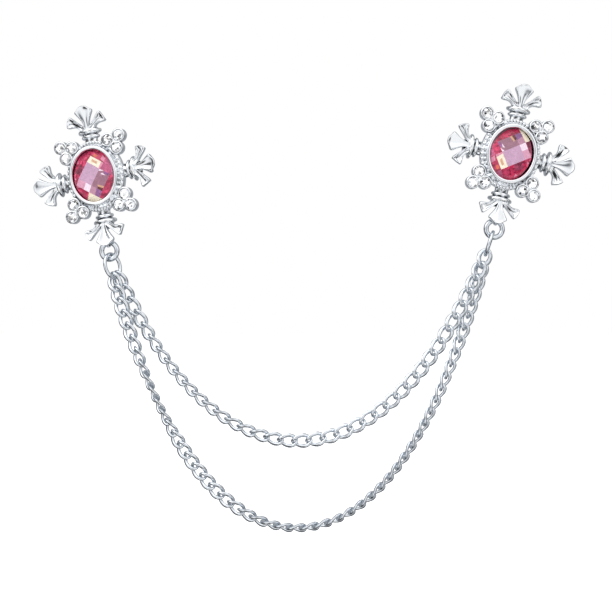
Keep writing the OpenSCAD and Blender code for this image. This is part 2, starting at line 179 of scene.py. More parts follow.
class Shell:
    """Points and faces gathered from several sub-parts.

    Each face may have a colour and each point a shade, which the layer "facet" holds multiplied."""

    def __init__(self):
        self.points = []
        self.faces = []
        self.colours = []
        self.shades = []

    def add(self, points, faces, place=None, colours=None, shades=None):
        first = len(self.points)
        for p in points:
            p = Vector(p)
            self.points.append(place @ p if place else p)
        turned_in = place is not None and place.to_3x3().determinant() < 0
        for face in faces:
            face = tuple(first + i for i in face)
            self.faces.append(face[::-1] if turned_in else face)
        self.colours.extend(colours or [(1, 1, 1)] * len(faces))
        self.shades.extend(shades or [1] * len(points))

    def build(self, name, material, side=None, sharp=35.0):
        """Makes the object, placed in the frame, with edges sharper than the given angle kept crisp."""
        place = brooch_matrix(side) if side else Matrix.Scale(MM, 4)
        mesh = bpy.data.meshes.new(name)
        mesh.from_pydata([place @ p for p in self.points], [], self.faces)
        mesh.materials.append(material)
        layer = mesh.color_attributes.new("facet", "FLOAT_COLOR", "CORNER")
        for face, colour in zip(mesh.polygons, self.colours):
            for corner in face.loop_indices:
                shade = self.shades[mesh.loops[corner].vertex_index]
                layer.data[corner].color = (*(c * shade for c in colour), 1)
        work = bmesh.new()
        work.from_mesh(mesh)
        bmesh.ops.recalc_face_normals(work, faces=work.faces)
        for face in work.faces:
            face.smooth = True
        limit = math.radians(sharp)
        for edge in work.edges:
            edge.smooth = len(edge.link_faces) == 2 and edge.calc_face_angle(0) < limit
        work.to_mesh(mesh)
        work.free()
        return new_object(name, mesh)


def loft(rings, closed_path=False, cap=True):
    """Faces between closed rings of points. Returns the points and the faces."""
    size = len(rings[0])
    points = [p for ring in rings for p in ring]
    faces = []
    count = len(rings)
    for i in range(count if closed_path else count - 1):
        for k in range(size):
            a, b = i * size + k, i * size + (k + 1) % size
            j = (i + 1) % count
            faces.append((a, b, j * size + (k + 1) % size, j * size + k))
    if cap and not closed_path:
        faces.append(tuple(range(size))[::-1])
        faces.append(tuple((count - 1) * size + k for k in range(size)))
    return points, faces


def circle_point(radius, share):
    """The point at a share of the way round a circle."""
    return radius * math.cos(2 * math.pi * share), radius * math.sin(2 * math.pi * share)


def revolve(profile, sides):
    """A closed solid of revolution about z, from (radius, z) rows that run from the axis to the axis."""
    points, faces, rows = [], [], []
    for radius, z in profile:
        if radius == 0:
            rows.append([len(points)] * sides)
            points.append((0, 0, z))
        else:
            rows.append(list(range(len(points), len(points) + sides)))
            points.extend((*circle_point(radius, k / sides), z) for k in range(sides))
    for low, high in zip(rows, rows[1:]):
        for k in range(sides):
            loop = [low[k], low[(k + 1) % sides], high[(k + 1) % sides], high[k]]
            face = tuple(dict.fromkeys(loop))
            if len(face) > 2:
                faces.append(face)
    return points, faces


def sweep(path, widths, thickness, sides):
    """A wire that closes on itself round the origin, with a width in its plane for each point of its path."""
    path = [Vector(p) for p in path]
    rings = []
    for i, (p, width) in enumerate(zip(path, widths)):
        along = (path[(i + 1) % len(path)] - path[i - 1]).normalized()
        out = (p - p.dot(along) * along).normalized()
        across = along.cross(out)
        ring = []
        for k in range(sides):
            a = 2 * math.pi * k / sides
            ring.append(p + width / 2 * math.cos(a) * out + thickness / 2 * math.sin(a) * across)
        rings.append(ring)
    return loft(rings, closed_path=True)


# The casting, in a brooch's own millimetres
OVAL_SIDES = 120
# The flat backs of arms, cups and webs lie one, two and three such steps in front of the flange's back, so
# that no two of them share a plane
BACK_STEP = 0.02
# Rim of the bezel, from the stone's pocket outwards: share of the wall, and height
RIM_PROFILE = (
    (0, SEAT_Z), (0, 2.6), (0, 2.75), (0, 3.06), (0.03, 3.24), (0.1, 3.37), (0.22, 3.45), (0.36, 3.49),
    (0.5, BEZEL_H), (0.64, 3.49), (0.78, 3.45), (0.9, 3.37), (0.97, 3.24), (1, 3.04),
)
# Flange: distance outside the rim, and height
FLANGE_PROFILE = (
    (0.04, 2.7), (0.12, 2.36), (0.24, 2.04), (0.4, 1.78), (0.58, 1.6), (0.78, FLANGE_T), (0.94, FLANGE_T),
    (1.06, 1.45), (1.14, 1.32), (FLANGE_REACH, 1.1), (FLANGE_REACH, 0.3), (1.12, 0.12), (1.02, 0.02),
    (0.9, 0),
)
# How far the rim leans over the stone's two ends, and between which heights
BEZEL_LEAN = 0.25
LEAN_FROM = 1.7
LEAN_TO = 2.9


def oval_offset(angle, offset):
    """A point at a distance outside the stone pocket's oval edge."""
    a, b = STONE_W / 2 + STONE_GAP, STONE_H / 2 + STONE_GAP
    normal = Vector((math.cos(angle) / a, math.sin(angle) / b)).normalized()
    return a * math.cos(angle) + offset * normal.x, b * math.sin(angle) + offset * normal.y


def bezel():
    """The rim round the pink stone and the flange outside it."""
    profile = [(share * BEZEL_WALL, z) for share, z in RIM_PROFILE]
    profile += [(BEZEL_WALL + distance, z) for distance, z in FLANGE_PROFILE]
    rings = []
    for offset, z in profile:
        ring = []
        for k in range(OVAL_SIDES):
            angle = 2 * math.pi * k / OVAL_SIDES
            lean = BEZEL_LEAN * math.sin(angle) ** 2 * smooth((z - LEAN_FROM) / (LEAN_TO - LEAN_FROM))
            ring.append((*oval_offset(angle, offset - lean), z))
        rings.append(ring)
    return loft(rings)


def small_places():
    """The middles of the clear stones: three to a cluster, in a triangle that points outwards."""
    radius = CLUSTER_PITCH / math.sqrt(3)
    for sign_y in (1, -1):
        for sign_x in (1, -1):
            for angle in CLUSTER_ANGLES:
                a = math.radians(angle)
                yield sign_x * (CLUSTER_X + radius * math.cos(a)), sign_y * (CLUSTER_Y + radius * math.sin(a))


def bead_places():
    """Milgrain beads spread evenly along the flange, apart from those that a cup would cover."""
    width, length = FLANGE_W - BEAD_D, FLANGE_LEN - BEAD_D
    count = math.floor(math.pi * (width + length) / 2 / (BEAD_D + BEAD_GAP))
    spread = (length - width) / (length + width)
    for i in range(count):
        share = (i + 0.5) / count
        a = math.radians(360 * share + spread * 45 * math.sin(math.radians(720 * share)))
        p = Vector((width / 2 * math.cos(a), length / 2 * math.sin(a)))
        if min((p - Vector(c)).length for c in small_places()) >= (CUP_D + BEAD_D) / 2:
            yield p


BEAD_SIDES = 16


def bead():
    """A round bead, cut off below, where the flange hides it."""
    radius = BEAD_D / 2
    profile = [(0, -radius / 2)]
    for degrees in range(-45, 90, 15):
        a = math.radians(degrees)
        profile.append((radius * math.cos(a), radius * math.sin(a)))
    return revolve(profile + [(0, radius)], BEAD_SIDES)


# Collar sections: share of the arm's length, and share of the way from the neck's to the collar's radius
COLLAR = (
    (-0.12, 0.2), (0.03, 0.2), (0.06, 0.1), (0.1, -0.06), (0.15, -0.1), (0.18, -0.04), (0.192, 0.2),
    (0.21, 0.44), (0.235, 0.52), (0.26, 0.46), (0.275, 0.24), (0.286, 0.14), (0.3, 0.3), (0.316, 0.68),
    (0.335, 0.96), (0.36, 1.06), (0.388, 1.04), (0.41, 0.86), (0.426, 0.46), (0.45, 0.18), (0.5, 0),
    (0.56, -0.5),
)
# Painted shade in the grooves of the collar: share of the arm's length, and shade in the darkest spots
PAINTED_GROOVE_SHADE = (
    (0, 1), (0.09, 1), (0.13, 0.3), (0.17, 0.1), (0.2, 0.9), (0.26, 1), (0.286, 0.1), (0.312, 1), (0.415, 1),
    (0.44, 0.2), (0.56, 0.1),
)
# Faces round the rod and along it
COLLAR_STEPS = 36
COLLAR_ROWS = 96
# Spots of painted shade round a groove, and how fast they drift round it along the arm, in radians for its
# whole length
SHADE_SPOTS = 7
SPOT_DRIFT = 30
# The spots of painted shade fade out over this angle towards the flat back, in radians
UNSHADED_BACK = 0.3


def arm_core(turn):
    """Neck and ribbed collar: half a rod that lies on the back plane, with spots of painted shade in its
    grooves.

    turn moves the spots round the rod, in radians."""
    neck_r = math.hypot(NECK_W / 2, AXIS_DEPTH)
    collar_r = math.hypot(COLLAR_W / 2, AXIS_DEPTH)
    rings, shades = [], []
    for i in range(COLLAR_ROWS + 1):
        s = lerp(COLLAR[0][0], COLLAR[-1][0], i / COLLAR_ROWS)
        groove_shade = curve_value(PAINTED_GROOVE_SHADE, s)
        r = neck_r + (collar_r - neck_r) * curve_value(COLLAR, s)
        low = math.asin(AXIS_DEPTH / r)
        ring = []
        for k in range(COLLAR_STEPS + 1):
            a = lerp(low, math.pi - low, k / COLLAR_STEPS)
            ring.append((s * ARM_LENGTH, -r * math.cos(a), r * math.sin(a) - AXIS_DEPTH))
            # Spots of painted shade round the grooves, faded out towards the flat back
            spot = 0.5 + 0.5 * math.sin(SHADE_SPOTS * a + turn + SPOT_DRIFT * s)
            from_back = smooth(min(a - low, math.pi - low - a) / UNSHADED_BACK)
            shades.append(lerp(1, groove_shade, smooth(spot) * from_back))
        rings.append(ring)
    return *loft(rings), shades


# Petals. Where they start, as a share of the arm's length
PETAL_START = 0.4
# Middle petal: share of its length, and share of its half width
MIDDLE_EDGE = (
    (0, 0.24), (0.2, 0.27), (0.4, 0.36), (0.55, 0.49), (0.7, 0.66), (0.82, 0.82), (0.92, 0.95), (1, 1.04),
)
# Its end: share of the half width, and share of the arm's length
MIDDLE_END = ((0, 1.0), (0.2, 0.997), (0.38, 0.975), (0.6, 0.925), (0.8, 0.892), (1, 0.868))
# Middle line of a side petal: share of its length, share of the arm's length, share of the half width
SIDE_LINE = (
    (0, PETAL_START, 0.17), (0.25, 0.485, 0.31), (0.5, 0.555, 0.46), (0.75, 0.61, 0.63), (1, 0.665, 0.86),
)
# Width of a side petal: share of its length, and share of the middle petal's width
SIDE_WIDTH = ((0, 0.3), (0.3, 0.28), (0.5, 0.29), (0.65, 0.35), (0.8, 0.46), (0.92, 0.57), (1, 0.63))
# How far a side petal's end bulges, in millimetres
SIDE_BULGE = 0.35
# Share of a side petal's length over which its direction is measured, on each side of a point
DIRECTION_STEP = 0.02
# Section of a petal: share of the half width, and share of the thickness outside the hollow
PETAL_SECTION = (
    (-0.93, 0), (-0.985, 0.25), (-1, 0.5), (-0.985, 0.7), (-0.95, 0.86), (-0.89, 0.96), (-0.81, 1),
    (-0.72, 0.99), (-0.62, 0.94), (-0.5, 0.88), (-0.36, 0.83), (-0.18, 0.8), (0, 0.79),
)
# The hollow is deepened only inside this share of the half width
HOLLOW_HALF = 0.8
PETAL_ROWS = 40
# Rows stand closer towards the petal's end
ROW_CROWDING = 1.5
# How much deeper than the section the two kinds of petals are hollowed
MIDDLE_DEEP = 0.85
SIDE_DEEP = 1.6
# Half width of the painted dark reflection down the hollow of each side petal, as a share of the petal's half
# width.
# Each row is an arm, from the right one anticlockwise, with its petal on the anticlockwise side first
PAINTED_DARK_LINES = {
    "left": ((0.15, 0.3), (0.48, 0.18), (0.3, 0.36), (0.3, 0.18)),
    "right": ((0.52, 0.52), (0.22, 0.3), (0.18, 0.22), (0.32, 0.22)),
}
# Where the painted dark line starts and ends along the petal, how softly it ends sideways, and its painted
# shade
LINE_FROM = 0.12
LINE_TO = 0.84
LINE_SOFT = 0.16
PAINTED_LINE_SHADE = 0.03
# Depth of a petal's hollow: share of the length, and share of the section's own depth
HOLLOW = (
    (0, 0), (0.12, 0.4), (0.3, 1), (0.6, 1.2), (0.78, 1.1), (0.88, 0.8), (0.94, 0.25), (0.96, 0), (1, 0),
)
# Width of a petal near its end, where its corners are rounded: share of the length, and share of the width
CORNERS = ((0, 1), (0.8, 1), (0.9, 0.99), (0.95, 0.96), (0.985, 0.91), (1, 0.85))
# Height of a petal near its end, where the lip rounds off: share of the length, and share of the height
LIP = ((0, 1), (0.955, 1), (0.975, 0.96), (0.99, 0.84), (1, 0.62))


def rise_at(x):
    """Height of a petal's back at a distance along the arm: petals lift towards their ends."""
    return PETAL_BASE_Z + (x - PETAL_ROOT * ARM_LENGTH) * math.tan(math.radians(PETAL_LIFT))


def petal(place_at, deep, line=0.0):
    """A hollowed petal: its points, faces, and the shade of each point, dark in its painted dark reflection.

    place_at gives the point for a share of the petal's length and of its half width. line is the half width
    of the painted dark reflection."""
    section = PETAL_SECTION + tuple((-v, h) for v, h in PETAL_SECTION[-2::-1])
    rings, shades = [], []
    for i in range(PETAL_ROWS + 1):
        u = 1 - (1 - i / PETAL_ROWS) ** ROW_CROWDING
        depth = curve_value(HOLLOW, u)
        lip = curve_value(LIP, u)
        corners = curve_value(CORNERS, u)
        along = min(max((u - LINE_FROM) / (LINE_TO - LINE_FROM), 0), 1)
        half_line = line * math.sin(math.pi * along)
        ring = []
        for v, h in section:
            if abs(v) < HOLLOW_HALF:
                h = 1 - (1 - h) * deep * depth
            x, y = place_at(u, v * corners)
            ring.append((x, y, rise_at(x) + PETAL_T * h * lip))
            # Points inside the line are darkened: a painted dark reflection with soft sides
            shades.append(lerp(PAINTED_LINE_SHADE, 1, smooth((abs(v) - half_line + LINE_SOFT) / LINE_SOFT)))
        rings.append(ring)
    return *loft(rings), shades


def middle_petal():
    start = PETAL_START * ARM_LENGTH

    def place_at(u, v):
        end = curve_value(MIDDLE_END, abs(v)) * ARM_LENGTH
        return lerp(start, end, u), v * curve_value(MIDDLE_EDGE, u) * PETAL_W / 2

    return petal(place_at, MIDDLE_DEEP)


def side_petal(dark_line):
    """The petal on an arm's anticlockwise side, curved outwards."""
    def line(u):
        x = curve_value([(s, x) for s, x, y in SIDE_LINE], u) * ARM_LENGTH
        y = curve_value([(s, y) for s, x, y in SIDE_LINE], u) * FLEUR_W / 2
        return Vector((x, y))

    def place_at(u, v):
        ahead = (line(min(u + DIRECTION_STEP, 1)) - line(max(u - DIRECTION_STEP, 0))).normalized()
        outwards = Vector((-ahead.y, ahead.x))
        p = line(u) + outwards * (v * curve_value(SIDE_WIDTH, u) * PETAL_W / 2)
        p += ahead * (SIDE_BULGE * (1 - v * v) * smooth(u))
        return p.x, p.y

    return petal(place_at, SIDE_DEEP, dark_line)


def arm_places():
    """Where the four arms start on the bezel, from the right one anticlockwise."""
    for angle, reach in ((0, BEZEL_W / 2), (90, BEZEL_LEN / 2), (180, BEZEL_W / 2), (270, BEZEL_LEN / 2)):
        yield Matrix.Rotation(math.radians(angle), 4, "Z") @ Matrix.Translation((reach, 0, 0))


# Rim of a cup: distance from the cup's inside, and how far it lies below the cup's height
CUP_RIM = ((0, 0.08), (0.03, 0.01), (0.08, 0.02), (0.18, 0.06), (0.27, 0.12), (CUP_WALL, 0.2))
CUP_FLOOR = 0.9
CUP_SIDES = 40
# Bevel round a cup's back: its width and height
CUP_BEVEL = (0.08, 0.1)


def cup():
    inner, outer = SMALL_D / 2 + STONE_GAP, CUP_D / 2
    rim = [(inner + distance, CUP_H - drop) for distance, drop in CUP_RIM]
    back = [(outer, CUP_BEVEL[1]), (outer - CUP_BEVEL[0], 0), (0, 0)]
    return revolve([(0, CUP_FLOOR), (inner, CUP_FLOOR)] + rim + back, CUP_SIDES)


# Metal that fills the middle between three cups: radius and height
WEB_PROFILE = ((0, 0), (1, 0), (1, 1.5), (0.85, 1.75), (0.5, 1.92), (0, 2))
WEB_SIDES = 24

EYE_SECTIONS = 40
EYE_SIDES = 16
# Below 1, the section of the eye is between an oval and a rectangle
EYE_ROUNDNESS = 0.6


def eye_centre():
    along = EYE_AT * ARM_LENGTH
    return Vector((0, -(BEZEL_LEN / 2 + along), rise_at(along) - EYE_BORE))


def eye():
    """A small ring behind the bottom petal, with its bore along x."""
    def squared(share):
        return math.copysign(abs(share) ** EYE_ROUNDNESS, share)

    rings = []
    for i in range(EYE_SECTIONS):
        ring = []
        for k in range(EYE_SIDES):
            out, across = circle_point(1, k / EYE_SIDES)
            radius = EYE_BORE + EYE_WALL / 2 * (1 + squared(out))
            ring.append((EYE_W / 2 * squared(across), *circle_point(radius, i / EYE_SECTIONS)))
        rings.append(ring)
    return loft(rings, closed_path=True)


def setting(side, material):
    """The whole casting of one brooch."""
    shell = Shell()
    shell.add(*bezel())
    for p in bead_places():
        shell.add(*bead(), Matrix.Translation((p.x, p.y, FLANGE_T + BEAD_RISE)))
    draw = random.Random(side + " collars")
    # Each arm, with painted shade in its collar's grooves and painted dark reflections in its side petals
    for place, lines in zip(arm_places(), PAINTED_DARK_LINES[side]):
        points, faces, shades = arm_core(draw.uniform(0, 2 * math.pi))
        shell.add(points, faces, place @ Matrix.Translation((0, 0, BACK_STEP)), shades=shades)
        points, faces, shades = middle_petal()
        shell.add(points, faces, place, shades=shades)
        for line, mirror in zip(lines, (1, -1)):
            points, faces, shades = side_petal(line)
            shell.add(points, faces, place @ Matrix.Scale(mirror, 4, (0, 1, 0)), shades=shades)
    for x, y in small_places():
        shell.add(*cup(), Matrix.Translation((x, y, 2 * BACK_STEP)))
    for sign_x in (1, -1):
        for sign_y in (1, -1):
            middle = (sign_x * CLUSTER_X, sign_y * CLUSTER_Y, 3 * BACK_STEP)
            shell.add(*revolve(WEB_PROFILE, WEB_SIDES), Matrix.Translation(middle))
    shell.add(*eye(), Matrix.Translation(eye_centre()))
    piece = shell.build(side + "_casting", material, side)
    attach(piece, "root")
    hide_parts(side + "_setting")


# The pink stone: the glass's own pink with painted reflections of the foil and the light. Colours are linear
# red, green and blue
PALETTE = {
    "lilac": (0.6, 0.37, 0.53),
    "white_lilac": (0.95, 0.78, 0.9),
    "pinkish": (0.74, 0.36, 0.5),
    "mauve": (0.37, 0.185, 0.25),
    "mauve_light": (0.52, 0.26, 0.36),
    "purple": (0.3, 0.12, 0.3),
    "cream": (0.95, 0.84, 0.66),
    "tan": (0.7, 0.4, 0.26),
    "brown": (0.16, 0.05, 0.05),
    "pink": (0.6, 0.13, 0.26),
    "raspberry": (0.57, 0.052, 0.13),
    "crimson": (0.46, 0.028, 0.085),
    "dark_red": (0.3, 0.05, 0.1),
    "hot_pink": (0.8, 0.29, 0.43),
    "orange": (0.75, 0.17, 0.1),
    "edge_highlight_pink": (0.78, 0.4, 0.55),
    "night": (0.006, 0.004, 0.006),
    "steel": (0.2, 0.21, 0.23),
}
# Lines between facets, in millimetres along and across the cut
COLUMNS = tuple(s * STONE_W for s in (-0.8, -0.385, -0.225, 0.215, 0.385, 0.8))
ROWS = tuple(s * STONE_W for s in (-0.8, -0.25, 0.12, 0.385, 0.8))
# Colours of the facets, the glass's pink with painted reflections in it, a row for each row of the cut from
# the top one down, a name for each column
FACET_COLOURS = {
    "left": (
        ("pink", "pink", "raspberry", "raspberry", "cream"),
        ("pink", "pink", "mauve", "mauve_light", "cream"),
        ("raspberry", "cream", "lilac", "pinkish", "raspberry"),
        ("raspberry", "raspberry", "raspberry", "raspberry", "crimson"),
    ),
    "right": (
        ("raspberry", "raspberry", "crimson", "crimson", "cream"),
        ("pink", "raspberry", "mauve", "mauve_light", "cream"),
        ("raspberry", "cream", "lilac", "pinkish", "dark_red"),
        ("pink", "raspberry", "crimson", "raspberry", "crimson"),
    ),
}
# Smaller reflections inside facets: colour and corners in millimetres
GLINTS = (
    ("white_lilac", ((2.28, -0.4), (4.08, -0.4), (4.08, 1.27), (2.28, 1.27))),
    ("purple", ((-2.38, 2.6), (-1.8, 2.6), (-1.8, 3.8), (-2.38, 3.8))),
    ("white_lilac", ((-1.8, 2.3), (-1.3, 2.0), (-1.55, 3.3))),
    ("white_lilac", ((-2.38, 2.4), (-1.8, 1.3), (-2.38, 1.3))),
    ("tan", ((1.0, 4.07), (1.3, 2.5), (1.75, 2.7), (1.5, 4.07))),
    ("brown", ((1.5, 4.07), (1.75, 2.7), (2.27, 2.9), (2.27, 4.07))),
    ("purple", ((2.28, 2.6), (4.08, 2.9), (4.08, 4.07), (2.28, 4.07))),
    ("tan", ((-3.6, -1.9), (-3.0, -1.7), (-3.0, -0.1), (-3.6, -0.3))),
    ("hot_pink", ((-4.07, 0.6), (-2.4, 0.9), (-2.4, 1.26), (-4.07, 1.26))),
    ("orange", ((-5.0, -2.2), (-4.3, -2.3), (-4.3, -1.3), (-4.9, -1.2))),
    ("dark_red", ((-0.9, -4.3), (1.4, -4.6), (1.5, -2.67), (-0.8, -2.67))),
    ("hot_pink", ((-5.6, -0.2), (-4.5, 0.0), (-4.3, 1.2), (-5.2, 1.0))),
    ("hot_pink", ((2.5, -3.9), (3.1, -3.8), (2.9, -3.2))),
    ("hot_pink", ((-1.6, -5.6), (-0.5, -5.5), (-0.9, -4.9))),
    ("hot_pink", ((3.9, -2.5), (4.4, -2.3), (4.2, -1.5))),
)
# Points round the stone's edge, and the width and drop of the steep facets along it
STONE_OUTLINE = 72
RIM_WIDTH = 0.1
RIM_DROP = 0.12
# Arcs of them that mirror the dark bezel: from and to angle in degrees, width in the middle, colour
RIM_ARCS = {
    "left": ((105, 285, 0.12, "night"),),
    "right": ((-105, 72, 0.36, "night"), (84, 165, 0.4, "steel")),
}


# Corners nearer to each other than this are one corner, in millimetres
SAME_CORNER = 1e-4
# Tiles below this are left out, in square millimetres
SMALLEST_TILE = 1e-4
# What counts as zero when points are compared with a line
ROUNDING = 1e-9


def pairs(loop):
    """Each item of a closed loop with the next one."""
    return zip(loop, loop[1:] + loop[:1])


def nearest(p, points):
    """The number of the point that lies nearest to p."""
    return min(range(len(points)), key=lambda i: math.dist(p, points[i]))


def dome_z(x, y):
    """Height of the cut's corner over the stone's back."""
    k = STONE_FALL * 4 / STONE_H ** 2
    return STONE_MIDDLE - k * (x * x + y * y)


def facet_z(x, y):
    """Height on the flat facet that holds a point: an x and a y part, each straight between two lines."""
    def part(lines, v):
        i = max(k for k in range(len(lines) - 1) if v >= lines[k] - ROUNDING or k == 0)
        f = (v - lines[i]) / (lines[i + 1] - lines[i])
        return lerp(dome_z(lines[i], 0), dome_z(lines[i + 1], 0), f) - STONE_MIDDLE

    return STONE_MIDDLE + part(COLUMNS, x) + part(ROWS, y)


def halves(polygon, a, b):
    """The parts of a convex polygon to the left and to the right of the line from a to b."""
    side = [(b[0] - a[0]) * (p[1] - a[1]) - (b[1] - a[1]) * (p[0] - a[0]) for p in polygon]
    left, right = [], []
    for (p, q), (s, t) in zip(pairs(polygon), pairs(side)):
        if s >= -ROUNDING:
            left.append(p)
        if s <= ROUNDING:
            right.append(p)
        if (s > ROUNDING and t < -ROUNDING) or (s < -ROUNDING and t > ROUNDING):
            f = s / (s - t)
            cut = (lerp(p[0], q[0], f), lerp(p[1], q[1], f))
            left.append(cut)
            right.append(cut)
    return left, right


def area(polygon):
    return sum(p[0] * q[1] - q[0] * p[1] for p, q in pairs(polygon)) / 2


def cut_in(tiles, shape, colour):
    """Gives the part of the tiles that lies in a convex shape another colour."""
    result = []
    for tile_colour, tile in tiles:
        rest, outside = tile, []
        for a, b in pairs(shape):
            rest, right = halves(rest, a, b)
            if area(right) > SMALLEST_TILE:
                outside.append((tile_colour, right))
        if area(rest) > SMALLEST_TILE:
            result += outside + [(colour, rest)]
        else:
            result.append((tile_colour, tile))
    return result


def stone_tiles(side, outline):
    """The coloured tiles of the cut, clipped to the oval outline, with the smaller reflections cut in."""
    tiles = []
    for (y0, y1), colours in zip(zip(ROWS, ROWS[1:]), reversed(FACET_COLOURS[side])):
        for (x0, x1), colour in zip(zip(COLUMNS, COLUMNS[1:]), colours):
            tile = [(x0, y0), (x1, y0), (x1, y1), (x0, y1)]
            for a, b in pairs(outline):
                tile = halves(tile, a, b)[0]
            if area(tile) > SMALLEST_TILE:
                tiles.append((colour, tile))
    for colour, shape in GLINTS:
        tiles = cut_in(tiles, shape if area(shape) > 0 else shape[::-1], colour)
    return tiles


def conforming(tiles):
    """Adds to each tile the other tiles' corners that lie on its edges, so that tiles share their edges."""
    corners = []
    for _, tile in tiles:
        for p in tile:
            if all(math.dist(p, q) > SAME_CORNER for q in corners):
                corners.append(p)
    result = []
    for colour, tile in tiles:
        loop = []
        for a, b in pairs(tile):
            length = math.dist(a, b)
            if length < SAME_CORNER:
                continue
            on_edge = []
            for p in corners:
                along = ((p[0] - a[0]) * (b[0] - a[0]) + (p[1] - a[1]) * (b[1] - a[1])) / length
                off = abs((p[0] - a[0]) * (b[1] - a[1]) - (p[1] - a[1]) * (b[0] - a[0])) / length
                if off < SAME_CORNER and -SAME_CORNER < along < length - SAME_CORNER:
                    on_edge.append((along, p))
            loop.extend(p for _, p in sorted(on_edge))
        result.append((colour, loop))
    return corners, result


def rim_facet(side, angle):
    """Width and colour of the edge facet at an angle round the stone: a painted dark reflection in the arcs,
    a painted pink highlight elsewhere.
    """
    degrees = math.degrees(angle)
    for start, end, width, colour in RIM_ARCS[side]:
        share = ((degrees - start) % 360) / (end - start)
        if share < 1:
            return RIM_WIDTH + (width - RIM_WIDTH) * math.sin(math.pi * share), colour
    return RIM_WIDTH, "edge_highlight_pink"


def stone_outlines(side, turn):
    """The stone's edge and the flat facets' outline in the cut's own x and y, and the edge's colours."""
    edge, outline, colours = [], [], []
    for k in range(STONE_OUTLINE):
        angle = 2 * math.pi * k / STONE_OUTLINE
        width, colour = rim_facet(side, angle)
        colours.append(colour)
        for inset, points in ((0, edge), (width, outline)):
            x, y = (STONE_W / 2 - inset) * math.cos(angle), (STONE_H / 2 - inset) * math.sin(angle)
            points.append((x * math.cos(turn) + y * math.sin(turn), y * math.cos(turn) - x * math.sin(turn)))
    return edge, outline, colours


def edge_point(p, edge, outline):
    """The point of the stone's edge that belongs to a point on the flat facets' outline."""
    found = []
    for (a, b), (far_a, far_b) in zip(pairs(outline), pairs(edge)):
        dx, dy = b[0] - a[0], b[1] - a[1]
        f = min(max(((p[0] - a[0]) * dx + (p[1] - a[1]) * dy) / (dx ** 2 + dy ** 2), 0), 1)
        gap = math.dist(p, (lerp(a[0], b[0], f), lerp(a[1], b[1], f)))
        found.append((gap, lerp(far_a[0], far_b[0], f), lerp(far_a[1], far_b[1], f)))
    return min(found, key=lambda row: row[0])[1:]


def grow_border(work):
    """Extrudes the open border of a mesh in place. Returns the new points and the new faces."""
    border = [e for e in work.edges if len(e.link_faces) == 1]
    grown = bmesh.ops.extrude_edge_only(work, edges=border)["geom"]
    kinds = (bmesh.types.BMVert, bmesh.types.BMFace)
    return [[part for part in grown if isinstance(part, kind)] for kind in kinds]


def paint(face, layer, colour):
    for corner in face.loops:
        corner[layer] = (*PALETTE[colour], 1)


def center_stone(side, material):
    """The checkerboard-cut stone, with the colour of each facet."""
    turn = math.radians(FACET_TURN[side])
    edge, outline, rim_colours = stone_outlines(side, turn)
    corners, tiles = conforming(stone_tiles(side, outline))
    place = Matrix.Translation((0, 0, SEAT_Z + STONE_GAP)) @ Matrix.Rotation(turn, 4, "Z")
    work = bmesh.new()
    top = [work.verts.new(place @ Vector((x, y, facet_z(x, y)))) for x, y in corners]
    layer = work.loops.layers.float_color.new("facet")
    for colour, loop in tiles:
        numbers = list(dict.fromkeys(nearest(p, corners) for p in loop))
        if len(numbers) > 2:
            paint(work.faces.new([top[i] for i in numbers]), layer, colour)
    rim, rim_faces = grow_border(work)
    for vert in rim:
        x, y = edge_point((place.inverted() @ vert.co).xy, edge, outline)
        vert.co = place @ Vector((x, y, facet_z(x, y) - RIM_DROP))
    wall, wall_faces = grow_border(work)
    for vert in wall:
        vert.co.z = SEAT_Z + STONE_GAP
    for face in rim_faces + wall_faces:
        middle = place.inverted() @ face.calc_center_median()
        paint(face, layer, rim_colours[nearest(middle.xy, edge)])
    bmesh.ops.holes_fill(work, edges=[e for e in work.edges if len(e.link_faces) == 1], sides=0)
    bmesh.ops.recalc_face_normals(work, faces=work.faces)
    bmesh.ops.transform(work, matrix=brooch_matrix(side), verts=work.verts)
    mesh = bpy.data.meshes.new(side + "_pink_stone")
    work.to_mesh(mesh)
    work.free()
    mesh.materials.append(material)
    piece = new_object(side + "_pink_stone", mesh)
    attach(piece, "root")
    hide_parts(side + "_center_stone")


# The small clear stones: linear colours of their facets from white to dark, as painted sparkle and dark
# reflections, and how many in 100 have each
CLEAR_SHADES = ((1, 1, 1), (0.8, 0.82, 0.86), (0.5, 0.52, 0.56), (0.22, 0.23, 0.25), (0.04, 0.042, 0.05))
CLEAR_WEIGHTS = (60, 22, 9, 6, 3)
# Brilliant cut: rings of corners from the back up, as shares of the radius and of the height, how many
# corners stand in each, and how far they are turned, in steps
FOLD = 8
BRILLIANT_RINGS = (
    (1, 0.5, 2 * FOLD, 0),
    (1, 0.58, 2 * FOLD, 0),
    (0.78, 0.8, FOLD, 0.5),
    (0.46, 1, FOLD, 0),
)


def brilliant(draw):
    """A brilliant with table, star, kite and upper girdle facets over a cone, and a painted reflection's
    shade for each facet.
    """
    points, firsts = [(0, 0, 0)], []
    for out, up, count, shift in BRILLIANT_RINGS:
        firsts.append(len(points))
        for k in range(count):
            points.append((*circle_point(out * SMALL_D / 2, (k + shift) / count), up * SMALL_T))
    low, high, kite, table = firsts
    faces = [tuple(range(table, table + FOLD))]
    for k in range(2 * FOLD):
        n = (k + 1) % (2 * FOLD)
        faces.append((0, low + n, low + k))
        faces.append((low + k, low + n, high + n, high + k))
    for k in range(FOLD):
        n = (k + 1) % FOLD
        faces.append((table + k, kite + k, table + n))
        faces.append((high + 2 * k, high + 2 * k + 1, kite + k))
        faces.append((high + 2 * k + 1, high + 2 * n, kite + k))
        faces.append((table + n, kite + k, high + 2 * n, kite + n))
    shades = [CLEAR_SHADES[0]] + draw.choices(CLEAR_SHADES, CLEAR_WEIGHTS, k=len(faces) - 1)
    return points, faces, shades


